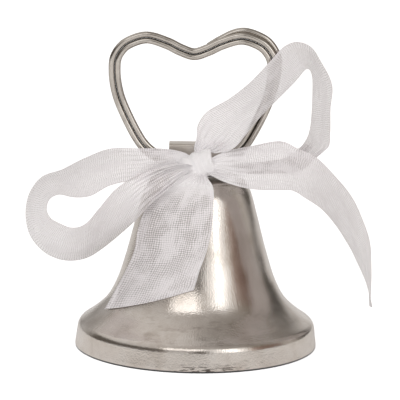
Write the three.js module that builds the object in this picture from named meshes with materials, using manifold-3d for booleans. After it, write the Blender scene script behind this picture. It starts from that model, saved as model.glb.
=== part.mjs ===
// Wedding favour bell: a small stamped bell that stands on its rim and carries a heart of doubled
// spring wire as a card holder, with an organza bow tied round the strap that grips the wire.
// Millimetres, +Z up. The origin is on the bell's axis, in the plane of the mouth, and the bow
// faces -Y.
import * as THREE from 'three';
import { mergeVertices } from 'three/addons/utils/BufferGeometryUtils.js';
import Module from 'manifold-3d';

const wasm = await Module();
wasm.setup();

// Bell shell
const MOUTH_RADIUS = 25.4;
const BAND_TOP_RADIUS = 24.93;
const BAND_HEIGHT = 4.3;
const SHOULDER_EDGE = [24.76, 4.98];
const CROWN_HEIGHT = 36;
const CROWN_RADIUS = 8.4;
const WALL = 0.8;
const BELL_SEGMENTS = 48;
const FLARE_STEPS = 14;
const CROWN_EDGE = [9.4, 35.6];
// The flare and waist above the band, from the bottom up, as [radius, height].
const WAIST = [
  [24.3, 5.4], [22.0, 7.0], [18.8, 10.0], [16.65, 14.0],
  [14.7, 20.0], [12.6, 28.0], [11.15, 33.0], [10.2, 34.7],
];

// Strap, its rivet and the washer under the crown
const GAP = 0.3;
const STRAP_WIDTH = 12;
const STRAP_HALF_DEPTH = 2.9;
const STRAP_PINCHED_HALF_DEPTH = 2.05;
// The heights between which the strap narrows from its feet to the wires.
const STRAP_PINCH = [38.6, 41.2];
const STRAP_TOP = 43.2;
const STRAP_SHEET = 0.6;
const STRAP_BEND = 0.8;
const STRAP_FOOT_GAP = 0.4;
const RIVET_HOLE_RADIUS = 1.2;
const RIVET_RADIUS = 0.9;
const RIVET_HEAD_RADIUS = 1.9;
const RIVET_HEAD_HEIGHT = 0.7;
const RIVET_NECK_RADIUS = 0.7;
const SHOULDER_RADIUS = 1.7;
const SHOULDER_HEIGHT = 0.8;
const WASHER_RADIUS = 3.4;
const WASHER_SHEET = 0.8;

// Clapper hung in the bell
const EYE_RADIUS = 1.6;
const EYE_WIRE_RADIUS = 0.5;
const EYE_HEIGHT = 31;
const LINK_RADIUS = 2.5;
const LINK_WIRE_RADIUS = 0.4;
const BALL_RADIUS = 4;
const BALL_HEIGHT = 9.5;
const BALL_BORE_RADIUS = 0.8;
const ROD_RADIUS = 0.5;
const ROD_TIP_RADIUS = 1.2;
const ROD_TIP_HEIGHT = 0.6;
const RING_SIDES = 8;
const RING_STEPS = 20;

// Heart of doubled wire
const WIRE_RADIUS = 0.62;
const WIRE_ARC_DIVISIONS = 4;
const WIRE_STEPS = 130;
const HEART_CENTRE_X = -1.03;
const HEART_FRONT_Y = -0.75;
const STRAND_HALF_PITCH = 0.66;
const BACK_STRAND_SHIFT = 1.5;
const BACK_STRAND_RISE = 0.9;
// Where things happen along the wire, in turns from the middle of the base.
const WIRE_START_TURN = 0.04;
const WIRE_END_TURN = 2.47;
const CROSS_TO_OUTER = [0.98, 1.04];
const CROSS_TO_BACK = [1.93, 1.975];
const BACK_RISES = [2.2, 2.36];
const BACK_FALLS = [2.38, WIRE_END_TURN];
// The right half of the line midway between the two strands, from the base up to the notch, as
// [distance from the heart's centre line, height].
const HEART_HALF = [
  [0, 39.7], [5.0, 39.75], [8.1, 40.8], [10.6, 43.0], [14.6, 50.4], [15.9, 54.1], [16.45, 58.0],
  [16.2, 61.0], [14.9, 63.1], [13.4, 64.2], [9.9, 65.25], [5.6, 64.1], [2.9, 62.8], [0, 61.9],
];

// Ribbon, 16 mm wide where it lies flat
const RIBBON_THICKNESS = 0.5;
const RIBBON_STEPS_ACROSS = 3;
const STEPS_PER_STATION = 2;
const DRAPED_STEPS = 21;
const KNOT_CENTRE = [0.3, -6.3, 39.4];
const KNOT_RADII = [2.2, 2.2, 2.9];
const WRAP_BOTTOM = 36.5;
const WRAP_TOP = 37.8;
const WRAP_SHEET = 0.8;
const WRAP_GAP = 0.4;
const WRAP_OUTER_CORNER = 1.2;
const WRAP_INNER_CORNER = 0.4;
const DRAPE_GAP = 0.8;
// Each station of a ribbon is its two edges, [x, y, z, x, y, z]: on a loop the outer edge and then
// the inner one, on the right tail the upper edge and then the lower one.
const LEFT_LOOP = [
  [-2.9, -4.6, 41.6, -3.3, -6.6, 39.9],
  [-6.8, -3.6, 42.3, -7.3, -8.0, 38.6],
  [-12.0, -2.8, 42.4, -11.8, -9.5, 37.2],
  [-18.5, -1.0, 41.8, -18.1, -11.0, 35.8],
  [-23.8, 1.5, 39.4, -22.0, -11.0, 33.6],
  [-28.6, 4.0, 36.5, -25.5, -10.5, 33.3],
  [-33.0, 5.8, 34.6, -28.5, -9.0, 33.5],
  [-35.7, 6.8, 31.0, -30.6, -8.0, 32.1],
  [-36.6, 6.8, 26.5, -31.1, -8.0, 30.0],
  [-35.6, 5.5, 22.0, -30.2, -8.5, 28.4],
  [-32.5, 3.8, 18.8, -28.3, -9.3, 27.5],
  [-28.5, 2.5, 17.3, -25.7, -10.5, 26.9],
  [-23.5, 0.5, 18.0, -23.2, -12.0, 28.0],
  [-18.8, -1.5, 21.3, -20.2, -13.0, 31.5],
  [-13.6, -5.0, 26.5, -16.6, -13.5, 35.8],
  [-9.7, -9.8, 31.7, -11.8, -13.0, 38.8],
  [-5.4, -11.3, 35.9, -7.6, -12.4, 40.3],
  [-2.6, -9.6, 38.2, -3.4, -9.8, 40.5],
];
const RIGHT_LOOP = [
  [-0.8, -4.6, 42.7, 2.6, -4.4, 42.3],
  [-0.4, -4.2, 45.0, 4.6, -6.0, 42.0],
  [-0.1, -3.8, 47.5, 7.5, -8.4, 43.7],
  [1.6, -3.2, 50.0, 9.8, -10.5, 46.8],
  [6.5, -2.8, 53.1, 12.6, -13.0, 50.9],
  [11.0, -2.6, 56.9, 16.3, -14.4, 55.2],
  [14.7, -2.4, 60.9, 19.8, -13.8, 58.8],
  [17.6, 0.0, 63.6, 21.3, -12.5, 60.4],
  [20.3, 2.0, 64.3, 22.0, -11.5, 60.7],
  [23.3, 3.5, 63.1, 22.7, -10.5, 60.2],
  [25.6, 4.5, 59.8, 23.1, -10.0, 58.6],
  [28.0, 5.0, 54.9, 23.2, -9.5, 55.2],
  [27.8, 5.0, 49.6, 23.2, -9.3, 51.0],
  [27.8, 5.0, 44.6, 22.9, -7.5, 47.4],
  [27.5, 5.2, 41.7, 22.3, -4.0, 44.6],
  [24.9, 5.4, 39.4, 20.9, 0.0, 41.8],
  [21.5, 3.6, 36.9, 18.1, 0.0, 39.8],
  [15.1, -0.2, 36.9, 13.3, -1.8, 39.5],
  [8.6, -3.6, 37.4, 8.0, -4.2, 39.5],
  [5.5, -4.8, 38.0, 5.5, -5.2, 39.5],
  [3.3, -5.1, 38.3, 3.3, -5.6, 39.4],
];
const RIGHT_TAIL = [
  [3.3, -6.2, 40.3, 3.1, -8.4, 37.6],
  [5.6, -5.8, 42.2, 5.5, -11.2, 37.0],
  [10.8, -5.8, 43.7, 10.7, -14.0, 36.1],
  [17.3, -6.5, 44.9, 16.4, -15.5, 36.2],
  [20.6, -7.5, 43.6, 19.3, -16.0, 36.2],
  [24.4, -7.5, 41.8, 22.0, -16.5, 34.7],
  [28.3, -5.5, 37.7, 25.2, -16.5, 32.6],
  [32.2, -2.8, 32.6, 28.5, -16.0, 28.9],
  [34.8, -0.5, 27.0, 31.2, -14.5, 24.6],
  [36.4, 2.0, 21.9, 33.1, -13.0, 20.6],
  [37.1, 4.5, 16.0, 34.9, -11.0, 16.6],
  [37.3, 6.5, 11.2, 36.1, -9.3, 13.0],
  [37.3, 8.0, 7.0, 36.8, -8.0, 10.3],
];
// The front tail lies on the bell, so its stations need only [x, z] of the left and right edges.
// The first two are over the crown's edge and state their y as well.
const FRONT_TAIL_TOP = [
  [-2.4, -9.0, 37.8, 2.0, -9.0, 37.4],
  [-6.2, -10.0, 36.2, 3.1, -10.6, 36.1],
];
const FRONT_TAIL_DRAPED = [
  [-8.9, 33.1, 3.4, 34.0],
  [-11.0, 29.6, 3.3, 31.2],
  [-12.2, 26.1, 3.1, 27.4],
  [-13.1, 21.1, 2.2, 23.4],
  [-16.0, 14.5, 0.6, 18.9],
  [-19.1, 8.9, -0.4, 15.4],
];

const nickel = new THREE.MeshStandardMaterial({ color: 0xc9c4be, roughness: 0.22, metalness: 1 });
const wireNickel = new THREE.MeshStandardMaterial({ color: 0xbdb7b0, roughness: 0.25, metalness: 1 });
const strapSteel = new THREE.MeshStandardMaterial({ color: 0xb5afa6, roughness: 0.35, metalness: 1 });
const clapperSteel = new THREE.MeshStandardMaterial({ color: 0xa8a49e, roughness: 0.4, metalness: 1 });
const organza = new THREE.MeshStandardMaterial({ color: 0xe6e2e3, roughness: 0.75, metalness: 0 });

// One closed body from a geometry: only positions are kept and shared corners are merged.
function closedBody(geometry) {
  const bare = geometry.index ? geometry.toNonIndexed() : geometry.clone();
  bare.deleteAttribute('normal');
  bare.deleteAttribute('uv');
  const merged = mergeVertices(bare, 1e-4);
  const corners = merged.index.array;
  const kept = [];
  for (let i = 0; i < corners.length; i += 3) {
    const [a, b, c] = [corners[i], corners[i + 1], corners[i + 2]];
    if (a !== b && b !== c && c !== a) kept.push(a, b, c);
  }
  merged.setIndex(kept);
  merged.computeVertexNormals();
  return merged;
}

function toSolid(geometry) {
  const body = closedBody(geometry);
  return new wasm.Manifold(new wasm.Mesh({
    numProp: 3,
    vertProperties: new Float32Array(body.attributes.position.array),
    triVerts: new Uint32Array(body.index.array),
  }));
}

function fromSolid(solid) {
  const mesh = solid.getMesh();
  const geometry = new THREE.BufferGeometry();
  geometry.setAttribute('position', new THREE.BufferAttribute(mesh.vertProperties, 3));
  geometry.setIndex(new THREE.BufferAttribute(mesh.triVerts, 1));
  geometry.computeVertexNormals();
  return geometry;
}

// A body turned about Z from a profile of [radius, height] that runs anticlockwise, seen with the
// axis on the left.
function turned(profile, segments) {
  const points = profile.map(([radius, height]) => new THREE.Vector2(radius, height));
  const geometry = new THREE.LatheGeometry(points, segments);
  geometry.rotateX(Math.PI / 2);
  return closedBody(geometry);
}

// A ring of round wire about Z.
function ring(radius, wireRadius) {
  return closedBody(new THREE.TorusGeometry(radius, wireRadius, RING_SIDES, RING_STEPS));
}

function piece(name, geometry, material) {
  const mesh = new THREE.Mesh(geometry, material);
  mesh.name = name;
  return mesh;
}

// Outer radius of the bell at a height.
function bellRadius(height) {
  const outline = bellOutline();
  for (let i = 1; i < outline.length; i += 1) {
    const [r0, z0] = outline[i - 1];
    const [r1, z1] = outline[i];
    if (height <= z1) return r0 + ((r1 - r0) * (height - z0)) / (z1 - z0);
  }
  return CROWN_RADIUS;
}

// The bell's outside from the mouth to the edge of the flat crown.
function bellOutline() {
  const curve = new THREE.SplineCurve(WAIST.map(([r, z]) => new THREE.Vector2(r, z)));
  const flare = curve.getPoints(FLARE_STEPS).map((point) => [point.x, point.y]);
  return [
    [MOUTH_RADIUS, 0],
    [BAND_TOP_RADIUS, BAND_HEIGHT],
    SHOULDER_EDGE,
    ...flare,
    CROWN_EDGE,
    [CROWN_RADIUS, CROWN_HEIGHT],
  ];
}

// The inside is the outside moved in along its normal by the wall.
function bellShell() {
  const outside = bellOutline();
  const inside = outside.map(([radius, height], i) => {
    const before = outside[Math.max(i - 1, 0)];
    const after = outside[Math.min(i + 1, outside.length - 1)];
    const run = [after[0] - before[0], after[1] - before[1]];
    const length = Math.hypot(run[0], run[1]);
    return [radius - (WALL * run[1]) / length, Math.max(0, height + (WALL * run[0]) / length)];
  });
  inside[0] = [MOUTH_RADIUS - WALL, 0];
  inside[inside.length - 1] = [CROWN_RADIUS - WALL, CROWN_HEIGHT - WALL];
  const profile = [
    ...outside,
    [RIVET_HOLE_RADIUS, CROWN_HEIGHT],
    [RIVET_HOLE_RADIUS, CROWN_HEIGHT - WALL],
    ...inside.reverse(),
    outside[0],
  ];
  return turned(profile, BELL_SEGMENTS);
}

// A saddle of sheet metal pinched in round the wires. Its feet turn in and the rivet holds both.
function crownStrap() {
  const bottom = CROWN_HEIGHT + GAP;
  const outer = STRAP_HALF_DEPTH;
  const inner = STRAP_HALF_DEPTH - STRAP_SHEET;
  const pinched = STRAP_PINCHED_HALF_DEPTH;
  const pinchedInner = STRAP_PINCHED_HALF_DEPTH - STRAP_SHEET;
  const [pinchStart, pinchEnd] = STRAP_PINCH;
  const footTop = bottom + STRAP_SHEET;
  const roof = STRAP_TOP - STRAP_SHEET;
  const bendInside = STRAP_BEND - STRAP_SHEET;
  const bendHeight = STRAP_TOP - STRAP_BEND;
  const shape = new THREE.Shape();
  shape.moveTo(STRAP_FOOT_GAP, bottom);
  shape.lineTo(outer, bottom);
  shape.lineTo(outer, pinchStart);
  shape.lineTo(pinched, pinchEnd);
  shape.absarc(pinched - STRAP_BEND, bendHeight, STRAP_BEND, 0, Math.PI / 2, false);
  shape.absarc(STRAP_BEND - pinched, bendHeight, STRAP_BEND, Math.PI / 2, Math.PI, false);
  shape.lineTo(-pinched, pinchEnd);
  shape.lineTo(-outer, pinchStart);
  shape.lineTo(-outer, bottom);
  shape.lineTo(-STRAP_FOOT_GAP, bottom);
  shape.lineTo(-STRAP_FOOT_GAP, footTop);
  shape.lineTo(-inner, footTop);
  shape.lineTo(-inner, pinchStart);
  shape.lineTo(-pinchedInner, pinchEnd);
  shape.absarc(bendInside - pinchedInner, roof - bendInside, bendInside, Math.PI, Math.PI / 2, true);
  shape.absarc(pinchedInner - bendInside, roof - bendInside, bendInside, Math.PI / 2, 0, true);
  shape.lineTo(pinchedInner, pinchEnd);
  shape.lineTo(inner, pinchStart);
  shape.lineTo(inner, footTop);
  shape.lineTo(STRAP_FOOT_GAP, footTop);
  shape.closePath();
  const options = { depth: STRAP_WIDTH, bevelEnabled: false, curveSegments: 5 };
  const sheet = new THREE.ExtrudeGeometry(shape, options);
  const axes = new THREE.Matrix4().makeBasis(
    new THREE.Vector3(0, 1, 0),
    new THREE.Vector3(0, 0, 1),
    new THREE.Vector3(1, 0, 0),
  );
  sheet.translate(0, 0, -STRAP_WIDTH / 2);
  sheet.applyMatrix4(axes);
  const drill = new THREE.CylinderGeometry(RIVET_HOLE_RADIUS, RIVET_HOLE_RADIUS, 2, 24);
  drill.rotateX(Math.PI / 2);
  drill.translate(0, 0, bottom + STRAP_SHEET / 2);
  return fromSolid(toSolid(sheet).subtract(toSolid(drill)));
}

// The rivet's head sits in the strap, its shoulder clamps the washer, and it ends in an eye.
function hangerRivet() {
  const headBottom = CROWN_HEIGHT + GAP + STRAP_SHEET + GAP;
  const shoulderTop = CROWN_HEIGHT - WALL - GAP - WASHER_SHEET - GAP;
  const shoulderBottom = shoulderTop - SHOULDER_HEIGHT;
  const eyeTop = EYE_HEIGHT + EYE_RADIUS;
  const body = turned([
    [0, eyeTop],
    [RIVET_NECK_RADIUS, eyeTop],
    [SHOULDER_RADIUS, shoulderBottom],
    [SHOULDER_RADIUS, shoulderTop],
    [RIVET_RADIUS, shoulderTop],
    [RIVET_RADIUS, headBottom],
    [RIVET_HEAD_RADIUS, headBottom],
    [RIVET_HEAD_RADIUS, headBottom + RIVET_HEAD_HEIGHT * 0.5],
    [RIVET_HEAD_RADIUS * 0.7, headBottom + RIVET_HEAD_HEIGHT],
    [0, headBottom + RIVET_HEAD_HEIGHT],
  ], 24);
  const eye = ring(EYE_RADIUS, EYE_WIRE_RADIUS);
  eye.rotateX(Math.PI / 2);
  eye.translate(0, 0, EYE_HEIGHT);
  return fromSolid(toSolid(body).add(toSolid(eye)));
}

function crownWasher() {
  const top = CROWN_HEIGHT - WALL - GAP;
  const bottom = top - WASHER_SHEET;
  return turned([
    [RIVET_HOLE_RADIUS, bottom],
    [WASHER_RADIUS, bottom],
    [WASHER_RADIUS, top],
    [RIVET_HOLE_RADIUS, top],
    [RIVET_HOLE_RADIUS, bottom],
  ], 28);
}

// The link hangs in the rivet's eye, in the YZ plane, and the clapper's eye hangs in the link.
const LINK_HEIGHT = EYE_HEIGHT - EYE_RADIUS + EYE_WIRE_RADIUS + LINK_WIRE_RADIUS + GAP - LINK_RADIUS;
const LINK_BOTTOM = LINK_HEIGHT - LINK_RADIUS;
const CLAPPER_EYE_HEIGHT = LINK_BOTTOM + 2 * LINK_WIRE_RADIUS + GAP - EYE_RADIUS;

function clapperLink() {
  const geometry = ring(LINK_RADIUS, LINK_WIRE_RADIUS);
  geometry.rotateY(Math.PI / 2);
  return geometry;
}

// A straight rod with an eye at the top and a peened tip that keeps the ball on.
function clapperRod() {
  const tipTop = BALL_HEIGHT - BALL_RADIUS - GAP;
  const eyeBottom = CLAPPER_EYE_HEIGHT - EYE_RADIUS;
  const rod = turned([
    [0, tipTop - ROD_TIP_HEIGHT],
    [ROD_TIP_RADIUS, tipTop - ROD_TIP_HEIGHT],
    [ROD_TIP_RADIUS, tipTop],
    [ROD_RADIUS, tipTop],
    [ROD_RADIUS, eyeBottom],
    [0, eyeBottom],
  ], 16);
  const eye = ring(EYE_RADIUS, LINK_WIRE_RADIUS);
  eye.rotateX(Math.PI / 2);
  eye.translate(0, 0, CLAPPER_EYE_HEIGHT);
  return fromSolid(toSolid(rod).add(toSolid(eye)));
}

function clapperBall() {
  const profile = [];
  const start = Math.acos(BALL_BORE_RADIUS / BALL_RADIUS);
  const steps = 10;
  for (let i = 0; i <= steps; i += 1) {
    const angle = -start + (2 * start * i) / steps;
    profile.push([BALL_RADIUS * Math.cos(angle), BALL_RADIUS * Math.sin(angle)]);
  }
  profile.push(profile[0]);
  return turned(profile, 20);
}

function smoothStep([from, to], value) {
  const t = Math.min(1, Math.max(0, (value - from) / (to - from)));
  return t * t * (3 - 2 * t);
}

// Two and a half turns of one wire. The first turn is the inner strand, the second the outer one,
// and the last half turn goes up the right side behind both and ends behind the notch.
function heartWire() {
  const right = HEART_HALF.map(([x, z]) => new THREE.Vector3(x, 0, z));
  const left = HEART_HALF.slice(1, -1).reverse().map(([x, z]) => new THREE.Vector3(-x, 0, z));
  const heart = new THREE.CatmullRomCurve3([...right, ...left], true, 'centripetal');
  heart.arcLengthDivisions = 800;
  const points = [];
  for (let i = 0; i <= WIRE_STEPS; i += 1) {
    const turn = WIRE_START_TURN + ((WIRE_END_TURN - WIRE_START_TURN) * i) / WIRE_STEPS;
    const along = turn % 1;
    const centre = heart.getPointAt(along);
    const tangent = heart.getTangentAt(along);
    const toOuter = smoothStep(CROSS_TO_OUTER, turn);
    const toBack = smoothStep(CROSS_TO_BACK, turn);
    const rise = smoothStep(BACK_RISES, turn) * (1 - smoothStep(BACK_FALLS, turn));
    const out = STRAND_HALF_PITCH * (2 * toOuter - 1) + BACK_STRAND_RISE * rise;
    points.push(new THREE.Vector3(
      HEART_CENTRE_X + centre.x + tangent.z * out,
      HEART_FRONT_Y + BACK_STRAND_SHIFT * toBack,
      centre.z - tangent.x * out,
    ));
  }
  const section = new THREE.Shape();
  section.absarc(0, 0, WIRE_RADIUS, 0, 2 * Math.PI, false);
  return closedBody(new THREE.ExtrudeGeometry(section, {
    steps: WIRE_STEPS,
    curveSegments: WIRE_ARC_DIVISIONS,
    extrudePath: new THREE.CatmullRomCurve3(points),
  }));
}

// A closed sheet about a grid of points, one row of points for each step along it.
function sheetBody(rows, thickness) {
  const count = rows[0].length;
  const last = rows.length - 1;
  const normals = rows.map((row, i) => row.map((point, j) => {
    const along = rows[Math.min(i + 1, last)][j].clone().sub(rows[Math.max(i - 1, 0)][j]);
    const across = row[Math.min(j + 1, count - 1)].clone().sub(row[Math.max(j - 1, 0)]);
    return along.cross(across).normalize();
  }));
  const positions = [];
  for (const side of [0.5, -0.5]) {
    rows.forEach((row, i) => row.forEach((point, j) => {
      positions.push(...point.clone().addScaledVector(normals[i][j], side * thickness).toArray());
    }));
  }
  const total = rows.length * count;
  const top = (i, j) => i * count + j;
  const under = (i, j) => total + i * count + j;
  const faces = [];
  const quad = (a, b, c, d) => faces.push(a, b, c, a, c, d);
  for (let i = 0; i < last; i += 1) {
    for (let j = 0; j < count - 1; j += 1) {
      quad(top(i, j), top(i + 1, j), top(i + 1, j + 1), top(i, j + 1));
      quad(under(i, j), under(i, j + 1), under(i + 1, j + 1), under(i + 1, j));
    }
    quad(top(i, 0), under(i, 0), under(i + 1, 0), top(i + 1, 0));
    quad(top(i, count - 1), top(i + 1, count - 1), under(i + 1, count - 1), under(i, count - 1));
  }
  for (let j = 0; j < count - 1; j += 1) {
    quad(top(0, j), top(0, j + 1), under(0, j + 1), under(0, j));
    quad(top(last, j), under(last, j), under(last, j + 1), top(last, j + 1));
  }
  const geometry = new THREE.BufferGeometry();
  geometry.setAttribute('position', new THREE.Float32BufferAttribute(positions, 3));
  geometry.setIndex(faces);
  return closedBody(geometry);
}

// Rows of points across a ribbon, smoothed along the stations' two edges.
function ribbonRows(stations, steps) {
  const edge = (start) => new THREE.CatmullRomCurve3(
    stations.map((s) => new THREE.Vector3(s[start], s[start + 1], s[start + 2])),
    false,
    'centripetal',
  );
  const first = edge(0);
  const second = edge(3);
  const rows = [];
  for (let i = 0; i <= steps; i += 1) {
    const a = first.getPoint(i / steps);
    const b = second.getPoint(i / steps);
    const row = [];
    for (let j = 0; j <= RIBBON_STEPS_ACROSS; j += 1) {
      row.push(a.clone().lerp(b, j / RIBBON_STEPS_ACROSS));
    }
    rows.push(row);
  }
  return rows;
}

function ribbon(stations) {
  const steps = (stations.length - 1) * STEPS_PER_STATION;
  return sheetBody(ribbonRows(stations, steps), RIBBON_THICKNESS);
}

// The front tail falls over the crown's edge and rests on the bell, so its depth is the bell's.
function frontTail() {
  const onBell = (x, z) => -Math.sqrt(Math.max(0, (bellRadius(z) + DRAPE_GAP) ** 2 - x * x));
  const draped = FRONT_TAIL_DRAPED.map(([xl, zl, xr, zr]) => [
    xl, onBell(xl, zl), zl, xr, onBell(xr, zr), zr,
  ]);
  const rows = ribbonRows([...FRONT_TAIL_TOP, ...draped], DRAPED_STEPS);
  for (const row of rows) {
    for (const point of row) {
      const needed = bellRadius(point.z) + DRAPE_GAP;
      const depth = Math.sqrt(Math.max(0, needed * needed - point.x * point.x));
      point.y = Math.min(point.y, -depth);
    }
  }
  return sheetBody(rows, RIBBON_THICKNESS);
}

// The ribbon gathered to a cord where it passes round the strap, under the wires.
function neckWrap() {
  const halfX = STRAP_WIDTH / 2 + WRAP_GAP;
  const halfY = STRAP_HALF_DEPTH + WRAP_GAP;
  const outline = (x, y, corner) => {
    const shape = new THREE.Shape();
    shape.moveTo(x, corner - y);
    shape.absarc(x - corner, y - corner, corner, 0, Math.PI / 2, false);
    shape.absarc(corner - x, y - corner, corner, Math.PI / 2, Math.PI, false);
    shape.absarc(corner - x, corner - y, corner, Math.PI, 1.5 * Math.PI, false);
    shape.absarc(x - corner, corner - y, corner, 1.5 * Math.PI, 2 * Math.PI, false);
    return shape;
  };
  const band = outline(halfX + WRAP_SHEET, halfY + WRAP_SHEET, WRAP_OUTER_CORNER);
  band.holes.push(outline(halfX, halfY, WRAP_INNER_CORNER));
  const options = { depth: WRAP_TOP - WRAP_BOTTOM, bevelEnabled: false, curveSegments: 4 };
  return closedBody(new THREE.ExtrudeGeometry(band, options));
}

function ribbonKnot() {
  const geometry = new THREE.SphereGeometry(1, 16, 10);
  geometry.scale(...KNOT_RADII);
  return closedBody(geometry);
}

const bell = new THREE.Group();
bell.add(piece('bell_shell', bellShell(), nickel));
bell.add(piece('crown_strap', crownStrap(), strapSteel));
bell.add(piece('hanger_rivet', hangerRivet(), strapSteel));
bell.add(piece('crown_washer', crownWasher(), strapSteel));
bell.add(piece('heart_wire', heartWire(), wireNickel));

const clapper = new THREE.Group();
const link = piece('clapper_link', clapperLink(), clapperSteel);
link.position.set(0, 0, LINK_HEIGHT);
const ball = piece('clapper_ball', clapperBall(), clapperSteel);
ball.position.set(0, 0, BALL_HEIGHT);
clapper.add(link, piece('clapper_rod', clapperRod(), clapperSteel), ball);
bell.add(clapper);

const bow = new THREE.Group();
const knot = piece('ribbon_knot', ribbonKnot(), organza);
knot.position.set(...KNOT_CENTRE);
const wrap = piece('ribbon_neck_wrap', neckWrap(), organza);
wrap.position.set(0, 0, WRAP_BOTTOM);
bow.add(knot, wrap);
bow.add(piece('ribbon_left_loop', ribbon(LEFT_LOOP), organza));
bow.add(piece('ribbon_right_loop', ribbon(RIGHT_LOOP), organza));
bow.add(piece('ribbon_right_tail', ribbon(RIGHT_TAIL), organza));
bow.add(piece('ribbon_front_tail', frontTail(), organza));
bell.add(bow);

export default bell;
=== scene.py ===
import math

import bpy
import bmesh
import numpy as np
from mathutils import Matrix, Vector


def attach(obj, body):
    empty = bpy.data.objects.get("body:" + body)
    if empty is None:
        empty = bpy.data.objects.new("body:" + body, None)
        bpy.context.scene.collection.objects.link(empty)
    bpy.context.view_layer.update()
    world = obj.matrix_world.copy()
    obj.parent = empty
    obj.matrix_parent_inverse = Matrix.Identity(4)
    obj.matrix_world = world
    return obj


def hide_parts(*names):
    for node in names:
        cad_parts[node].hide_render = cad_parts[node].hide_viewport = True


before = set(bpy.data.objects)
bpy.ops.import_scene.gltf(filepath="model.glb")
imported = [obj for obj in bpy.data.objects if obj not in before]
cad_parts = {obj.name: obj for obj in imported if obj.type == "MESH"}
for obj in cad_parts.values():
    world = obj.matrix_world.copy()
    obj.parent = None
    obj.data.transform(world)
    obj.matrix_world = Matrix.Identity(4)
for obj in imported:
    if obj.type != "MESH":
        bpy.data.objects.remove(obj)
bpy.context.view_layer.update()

# Lengths below are in millimetres unless a name says otherwise, and meshes are made in metres.
MM = 0.001
rng = np.random.default_rng(12)


# ---------------------------------------------------------------- sizes
# Most are the CAD part's own. The strands' pitch, the front tail's gap to the bell and the first
# two stations of the right tail differ from it a little.

WALL = 0.8
CROWN_HEIGHT = 36.0
RIVET_HOLE_RADIUS = 1.2
WAIST = [
    (24.3, 5.4), (22.0, 7.0), (18.8, 10.0), (16.65, 14.0),
    (14.7, 20.0), (12.6, 28.0), (11.15, 33.0), (10.2, 34.7),
]

STRAP_WIDTH = 12.0
STRAP_HALF_DEPTH = 2.9
STRAP_PINCHED_HALF_DEPTH = 2.05
STRAP_PINCH = (38.6, 41.2)
STRAP_BOTTOM = 36.3
STRAP_TOP = 43.2
STRAP_SHEET = 0.6
STRAP_FOOT_GAP = 0.4

EYE_RADIUS = 1.6
EYE_WIRE_RADIUS = 0.5
EYE_HEIGHT = 31.0
LINK_RADIUS = 2.5
LINK_WIRE_RADIUS = 0.4
LINK_HEIGHT = 28.1
BALL_RADIUS = 4.0
BALL_HEIGHT = 9.5
BALL_BORE_RADIUS = 0.8
CLAPPER_EYE_HEIGHT = 25.1

WIRE_RADIUS = 0.62
HEART_CENTRE_X = -1.03
HEART_FRONT_Y = -0.75
STRAND_HALF_PITCH = 0.63
BACK_STRAND_SHIFT = 1.5
BACK_STRAND_RISE = 0.9
WIRE_START_TURN = 0.04
WIRE_END_TURN = 2.47
HEART_HALF = [
    (0, 39.7), (5.0, 39.75), (8.1, 40.8), (10.6, 43.0), (14.6, 50.4), (15.9, 54.1), (16.45, 58.0),
    (16.2, 61.0), (14.9, 63.1), (13.4, 64.2), (9.9, 65.25), (5.6, 64.1), (2.9, 62.8), (0, 61.9),
]

RIBBON_WIDTH = 16.0
THREAD_PITCH = 0.44
SELVEDGE = 0.7
# Depth of the pleats, as a share of the depth that would take up all the width lost at the knot.
PLEAT_SHARE = 0.7
# The front tail's left edge is turned under by this much, and lies this far behind its face.
TURNED_UNDER = 1.5
FOLD_GAP = 0.15
KNOT_CENTRE = (0.3, -6.3, 39.4)
KNOT_RADII = (2.2, 2.2, 2.9)
# Half the width of the knot's face, the bend at its sides, and the length of ribbon in it.
KNOT_FACE = 2.9
KNOT_BEND = 0.45
KNOT_LENGTH = 11.0
WRAP_BOTTOM = 36.55
WRAP_TOP = 37.75
WRAP_PLEATS = 9
# Each station is a ribbon's two edges, (x, y, z, x, y, z), starting at the knot.
LEFT_LOOP = [
    (-2.9, -4.6, 41.6, -3.3, -6.6, 39.9),
    (-6.8, -3.6, 42.3, -7.3, -8.0, 38.6),
    (-12.0, -2.8, 42.4, -11.8, -9.5, 37.2),
    (-18.5, -1.0, 41.8, -18.1, -11.0, 35.8),
    (-23.8, 1.5, 39.4, -22.0, -11.0, 33.6),
    (-28.6, 4.0, 36.5, -25.5, -10.5, 33.3),
    (-33.0, 5.8, 34.6, -28.5, -9.0, 33.5),
    (-35.7, 6.8, 31.0, -30.6, -8.0, 32.1),
    (-36.6, 6.8, 26.5, -31.1, -8.0, 30.0),
    (-35.6, 5.5, 22.0, -30.2, -8.5, 28.4),
    (-32.5, 3.8, 18.8, -28.3, -9.3, 27.5),
    (-28.5, 2.5, 17.3, -25.7, -10.5, 26.9),
    (-23.5, 0.5, 18.0, -23.2, -12.0, 28.0),
    (-18.8, -1.5, 21.3, -20.2, -13.0, 31.5),
    (-13.6, -5.0, 26.5, -16.6, -13.5, 35.8),
    (-9.7, -9.8, 31.7, -11.8, -13.0, 38.8),
    (-5.4, -11.3, 35.9, -7.6, -12.4, 40.3),
    (-2.6, -9.6, 38.2, -3.4, -9.8, 40.5),
]
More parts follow.
